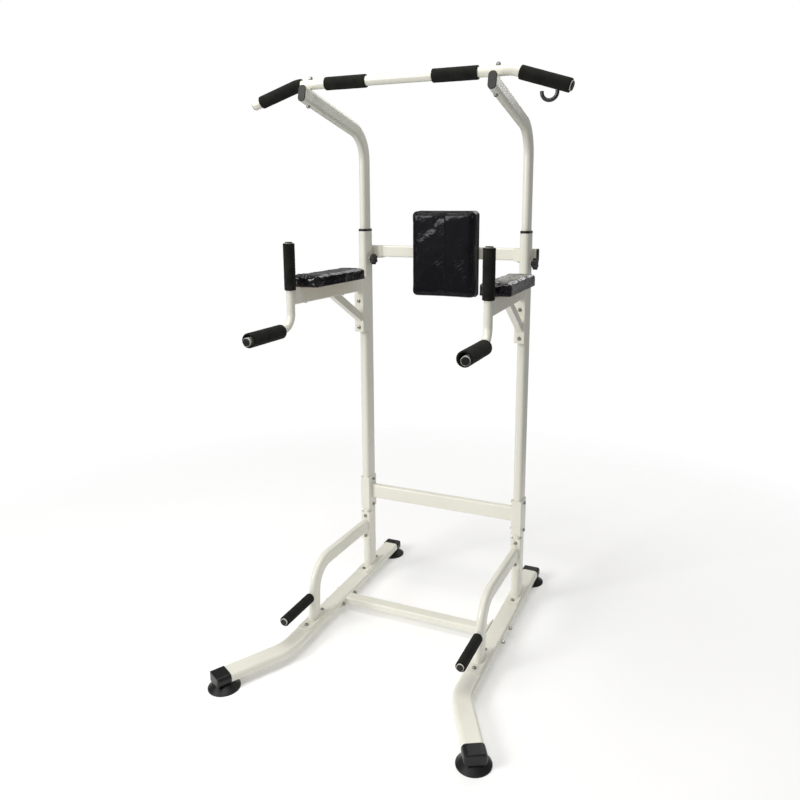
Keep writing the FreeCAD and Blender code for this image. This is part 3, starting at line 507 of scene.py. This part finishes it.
def make_grips():
    straight = [("left_inner_bar_grip", "mast"), ("right_inner_bar_grip", "mast")]
    for side in SIDES:
        for kind in ("upright_grip", "dip_grip", "push_up_grip"):
            straight.append((f"{side}_{kind}", "frame"))
    for seed, (node, body) in enumerate(straight):
        start, end, outer, bore = straight_axis(node)
        steps = 40
        path = [start + (end - start) * (i / steps) for i in range(steps + 1)]
        foam_sleeve(node + "_foam", node, body, path, outer, bore, 3.7 * seed)
    low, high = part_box("left_inner_bar_grip")
    centre = (low + high) / 2
    outer = (high.z - low.z) / 2
    start_x = -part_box("left_outer_bar_grip")[1].x
    bend_start = BAR_BEND_X - BAR_BEND_RADIUS * math.tan(BAR_DROP / 2)
    past_bend = BAR_BEND_RADIUS * BAR_DROP + RIGHT_GRIP_GAP
    outer_grips = [("left", -1, start_x, 0.0, LEFT_GRIP_LENGTH),
                   ("right", 1, bend_start, past_bend, RIGHT_GRIP_LENGTH)]
    for name, sign, first_x, skip, length in outer_grips:
        node = name + "_outer_bar_grip"
        path = bent_bar_path(sign, first_x, centre.y, centre.z, skip, length)
        foam_sleeve(node + "_foam", node, "mast", path, outer, outer - FOAM_WALL, 41.0 + sign)


# ================================================================ cushions
def rounded_block(name, width, length, height, corner, edge):
    """Block on Z = 0 with rounded plan corners and softened rims."""
    outline = []
    steps = 6
    for cx, cy, start in ((1, 1, 0), (-1, 1, 90), (-1, -1, 180), (1, -1, 270)):
        for i in range(steps + 1):
            angle = math.radians(start + 90 * i / steps)
            outline.append((cx * (width / 2 - corner) + corner * math.cos(angle),
                            cy * (length / 2 - corner) + corner * math.sin(angle)))
    levels = [(0.0, 0.05 * edge), (0.1 * edge, 0.0)]
    for i in range(steps + 1):
        angle = math.pi / 2 * i / steps
        levels.append((height - edge + edge * math.sin(angle), edge * (1 - math.cos(angle))))
    work = bmesh.new()
    rings = []
    for z, inset in levels:
        scale_x = (width - 2 * inset) / width
        scale_y = (length - 2 * inset) / length
        rings.append([work.verts.new((x * scale_x, y * scale_y, z)) for x, y in outline])
    for lower, upper in zip(rings, rings[1:]):
        for j in range(len(outline)):
            k = (j + 1) % len(outline)
            work.faces.new((lower[j], lower[k], upper[k], upper[j]))
    work.faces.new(list(reversed(rings[0])))
    work.faces.new(rings[-1])
    mesh = bpy.data.meshes.new(name)
    work.to_mesh(mesh)
    work.free()
    return mesh


def apply_modifiers(piece):
    """Bake a piece's modifiers into a fresh mesh."""
    graph = bpy.context.evaluated_depsgraph_get()
    baked = bpy.data.meshes.new_from_object(piece.evaluated_get(graph))
    piece.modifiers.clear()
    piece.data = baked
    return baked


def inflate(mesh, voxel, pressure, cap, held):
    """Remesh, blow up as cloth, and keep each point within cap of its start.

    Below held the cover is stapled to the board, so there it hardly moves."""
    piece = bpy.data.objects.new("cushion_work", mesh)
    bpy.context.scene.collection.objects.link(piece)
    remesh = piece.modifiers.new("remesh", "REMESH")
    remesh.mode = "VOXEL"
    remesh.voxel_size = voxel
    mesh = apply_modifiers(piece)
    rest = [v.co.copy() for v in mesh.vertices]
    cloth = piece.modifiers.new("cloth", "CLOTH")
    cloth.settings.use_pressure = True
    cloth.settings.uniform_pressure_force = pressure
    cloth.settings.quality = 5
    cloth.settings.mass = 0.3
    cloth.settings.tension_stiffness = 12.0
    cloth.settings.compression_stiffness = 12.0
    cloth.settings.shear_stiffness = 5.0
    cloth.settings.effector_weights.gravity = 0.0
    cloth.collision_settings.use_self_collision = False
    scene = bpy.context.scene
    for i in range(1, CLOTH_FRAMES + 1):
        scene.frame_set(i)
    mesh = apply_modifiers(piece)
    scene.frame_set(1)
    for vertex, home in zip(mesh.vertices, rest):
        moved = vertex.co - home
        limit = cap * min(max(home.z / held, 0.0), 1.0)
        if moved.length > limit:
            vertex.co = home + moved.normalized() * limit
    smooth = piece.modifiers.new("subdivision", "SUBSURF")
    smooth.levels = 1
    smooth.render_levels = 1
    mesh = apply_modifiers(piece)
    bpy.data.objects.remove(piece)
    return mesh


def rim_distance(x, y, width, length, corner):
    """How far a plan point lies inside a rounded rectangle's edge."""
    dx = abs(x) - (width / 2 - corner)
    dy = abs(y) - (length / 2 - corner)
    outside = math.hypot(max(dx, 0.0), max(dy, 0.0))
    return corner - outside - min(max(dx, dy), 0.0)


def fold(point, scale, seed):
    """Sharp-crested crease height, 0 to 1, from layered noise."""
    warp = Vector((noise.noise(point * scale * 0.6 + Vector((seed, 7.0, 1.0))),
                   noise.noise(point * scale * 0.6 + Vector((2.0, seed, 5.0))),
                   noise.noise(point * scale * 0.6 + Vector((9.0, 4.0, seed)))))
    value = noise.noise(point * scale + warp * 1.3 + Vector((seed, seed, seed)))
    return max(0.0, 1.0 - 5.0 * abs(value))


def place_pad(mesh, matrix):
    """Flatten the pad's underside on its board and move it into place."""
    for vertex in mesh.vertices:
        vertex.co.z = max(vertex.co.z, 0.0)
    mesh.transform(matrix)
    mesh.update()


def back_pad():
    """Back pad: cover wrapped over its board, crowned front and film creases."""
    low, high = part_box("back_pad")
    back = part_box("back_pad_board")[1].y - WRAP_GAP
    width = high.x - low.x
    length = high.z - low.z
    height = back - low.y
    corner = 16.0 * MM
    block = rounded_block("back_pad_cover", width, length, height - 3.0 * MM, corner, 11.0 * MM)
    mesh = inflate(block, 4.5 * MM, 4.0, 4.0 * MM, 14.0 * MM)
    border = 13.0 * MM
    split = 9.0 * MM
    for vertex in mesh.vertices:
        x, y, z = vertex.co
        inside = rim_distance(x, y, width, length, corner)
        if z < 0.5 * height:
            continue
        top = (z / height - 0.5) * 2
        groove = math.exp(-((inside - border) / (1.7 * MM)) ** 2)
        ridge = math.exp(-((inside - border + 4.2 * MM) / (2.3 * MM)) ** 2)
        busy = 1.0 if x < split else 0.25
        crease = fold(Vector((x, y * 0.7, 0)), 17.0, 3.0) * 0.9
        crease += fold(Vector((x, y, 0)), 41.0, 8.0) * 0.5
        seam = math.exp(-((x - split) / (1.5 * MM)) ** 2)
        lift = -1.5 * groove + 0.8 * ridge + busy * crease * 0.5 + 0.6 * seam
        vertex.co.z += lift * MM * min(max(top, 0.0), 1.0)
    turn = Matrix.Rotation(math.radians(90), 4, "X")
    place = Matrix.Translation(((low.x + high.x) / 2, back, (low.z + high.z) / 2)) @ turn
    place_pad(mesh, place)
    piece = add_object("back_pad_cushion", mesh, film_back, "frame")
    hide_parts("back_pad")
    surface = BVHTree.FromPolygons([v.co for v in mesh.vertices], [p.vertices[:] for p in mesh.polygons])
    path = []
    for x, z in rounded_ring(width - 2 * border, length - 2 * border, 8.0 * MM, 4.0 * MM):
        origin = Vector(((low.x + high.x) / 2 + x, low.y - 0.1, (low.z + high.z) / 2 + z))
        hit = surface.ray_cast(origin, Vector((0, 1, 0)))[0]
        path.append(hit)
    bead("back_pad_piping", path, 1.3 * MM, film_back, "frame", 0.05)


def elbow_pad(side):
    """Elbow pad: cover wrapped over its board, film bunched up at the front."""
    node = side + "_elbow_pad"
    low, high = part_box(node)
    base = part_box(node + "_board")[0].z + WRAP_GAP
    width = ELBOW_PAD_WIDTH
    length = ELBOW_PAD_LENGTH
    height = high.z - base
    corner = 13.0 * MM
    block = rounded_block(node + "_cover", width, length, height - 2.0 * MM, corner, 8.0 * MM)
    mesh = inflate(block, 4.0 * MM, 4.0, 3.5 * MM, 10.0 * MM)
    border = 9.0 * MM
    seed = 5.0 + SIDES[side]
    for vertex in mesh.vertices:
        x, y, z = vertex.co
        inside = rim_distance(x, y, width, length, corner)
        front = min(max((-y - length * 0.28) / (length * 0.22), 0.0), 1.0)
        if z > 0.55 * height:
            dish = 3.2 * MM * min(inside / (0.3 * width), 1.0) ** 2
            groove = math.exp(-((inside - border) / (1.6 * MM)) ** 2)
            crease = fold(Vector((x, y * 0.5, 0)), 26.0, seed) * (0.9 + 1.4 * front)
            crease += fold(Vector((x, y, 0)), 62.0, seed + 9) * (0.4 + 1.2 * front)
            vertex.co.z += crease * 0.9 * MM - dish - 1.3 * MM * groove
        elif z > 2.0 * MM:
            out = Vector((x, y, 0)).normalized()
            line = math.exp(-((z - 0.36 * height) / (1.3 * MM)) ** 2)
            crease = fold(vertex.co, 48.0, seed + 4) * (0.35 + 1.6 * front)
            vertex.co += out * (crease * 0.9 * MM - 1.1 * MM * line)
    spin = Matrix.Rotation(SIDES[side] * PAD_SPLAY, 4, "Z")
    place = Matrix.Translation(((low.x + high.x) / 2, (low.y + high.y) / 2, base)) @ spin
    place_pad(mesh, place)
    piece = add_object(node + "_cushion", mesh, film_arm, "frame")
    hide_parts(node)


def make_welds():
    """Weld beads where tubes stand on their plates."""
    leg_y = UPRIGHT_Y - BRACE_LEG_FORWARD
    for side, sign in SIDES.items():
        x = sign * UPRIGHT_X
        feet = [("upright_weld", UPRIGHT_Y, 30.0 * MM, 60.0 * MM, 12.0 * MM),
                ("brace_weld", leg_y, 25.0 * MM, 50.1 * MM, 12.4 * MM)]
        for kind, y, width, depth, corner in feet:
            ring = rounded_ring(width + MM, depth + MM, corner, 2.2 * MM)
            path = [Vector((x + a, y + b, DECK_Z + 0.6 * MM)) for a, b in ring]
            bead(f"{side}_{kind}", path, 1.7 * MM, paint, "frame", 0.5)
        inner = sign * (UPRIGHT_X - SLEEVE_HALF)
        ring = rounded_ring(25.0 * MM, 50.0 * MM, 5.0 * MM, 2.2 * MM)
        path = [Vector((inner - sign * 0.6 * MM, UPRIGHT_Y + a, CROSSBAR_Z + b)) for a, b in ring]
        bead(f"{side}_crossbar_weld", path, 1.6 * MM, paint, "frame", 0.5)


make_grips()
make_welds()
back_pad()
for side in SIDES:
    elbow_pad(side)


# ================================================================ stage
def make_floor():
    """Pale floor that fades into the white backdrop away from the object."""
    mesh = bpy.data.meshes.new("floor")
    reach = 6.0
    mesh.from_pydata([(-reach, -reach, 0), (reach, -reach, 0), (reach, reach, 0), (-reach, reach, 0)],
                     [], [(0, 1, 2, 3)])
    floor = bpy.data.objects.new("floor", mesh)
    bpy.context.scene.collection.objects.link(floor)
    s = Shader("pale_floor")
    s.colour(s.ramp(s.noise(0.8, 3.0), [(0.3, (0.80, 0.80, 0.80)), (0.7, (0.83, 0.83, 0.83))]))
    distance = s.add("ShaderNodeVectorMath", operation="LENGTH")
    s.link(s.coords, distance.inputs[0])
    s.link(s.span(distance.outputs["Value"], 1.0, 0.0, (0.9, 2.4)), s.bsdf.inputs["Alpha"])
    s.set(Roughness=0.95, Specular_IOR_Level=0.0, Emission_Color=(1.0, 1.0, 1.0, 1.0),
          Emission_Strength=0.20)
    mesh.materials.append(s.material)


def make_world():
    """White backdrop that lights the object less brightly than it shows."""
    world = bpy.data.worlds.new("studio")
    world.use_nodes = True
    tree = world.node_tree
    background = tree.nodes["Background"]
    background.inputs["Color"].default_value = (1.0, 1.0, 1.0, 1.0)
    rays = tree.nodes.new("ShaderNodeLightPath")
    strength = tree.nodes.new("ShaderNodeMapRange")
    strength.inputs["To Min"].default_value = 0.26
    strength.inputs["To Max"].default_value = 1.0
    tree.links.new(rays.outputs["Is Camera Ray"], strength.inputs["Value"])
    tree.links.new(strength.outputs["Result"], background.inputs["Strength"])
    bpy.context.scene.world = world


def add_area(name, place, target, size, power, colour):
    """Square soft light aimed at a point."""
    light = bpy.data.lights.new(name, "AREA")
    light.size = size
    light.energy = power
    light.color = colour
    lamp = bpy.data.objects.new(name, light)
    bpy.context.scene.collection.objects.link(lamp)
    lamp.location = place
    aim = Vector(target) - Vector(place)
    lamp.rotation_euler = aim.to_track_quat("-Z", "Y").to_euler()


def make_camera():
    """Camera at head height, in front of the object and on its +X side."""
    camera = bpy.data.cameras.new("camera")
    camera.sensor_width = 36.0
    camera.lens = 32.955
    camera.shift_x = -0.01595
    camera.shift_y = -0.06237
    holder = bpy.data.objects.new("camera", camera)
    bpy.context.scene.collection.objects.link(holder)
    yaw = math.radians(23.345)
    pitch = math.radians(11.290)
    roll = math.radians(-0.118)
    forward = Vector((-math.sin(yaw) * math.cos(pitch), math.cos(yaw) * math.cos(pitch),
                      -math.sin(pitch)))
    right = Vector((math.cos(yaw), math.sin(yaw), 0.0))
    above = right.cross(forward)
    level_right = right * math.cos(roll) + above * math.sin(roll)
    level_up = above * math.cos(roll) - right * math.sin(roll)
    matrix = Matrix((level_right, level_up, -forward)).transposed().to_4x4()
    matrix.translation = Vector((0.8973, -2.3316 + UPRIGHT_Y, 1.4100))
    holder.matrix_world = matrix
    bpy.context.scene.camera = holder


make_floor()
make_world()
add_area("key", (-2.2, -3.4, 2.6), (0.0, 0.0, 0.9), 1.8, 118.0, (1.0, 0.995, 0.975))
add_area("top", (-0.3, -0.7, 4.2), (0.0, 0.0, 0.4), 2.4, 84.0, (1.0, 0.985, 0.95))
add_area("fill", (3.4, -1.6, 2.4), (0.0, 0.0, 0.9), 1.6, 5.0, (0.94, 1.0, 0.96))
add_area("back", (0.4, 3.0, 3.0), (0.0, 0.0, 1.0), 2.0, 30.0, (1.0, 1.0, 1.0))
bpy.context.scene.view_settings.view_transform = "Standard"
make_camera()
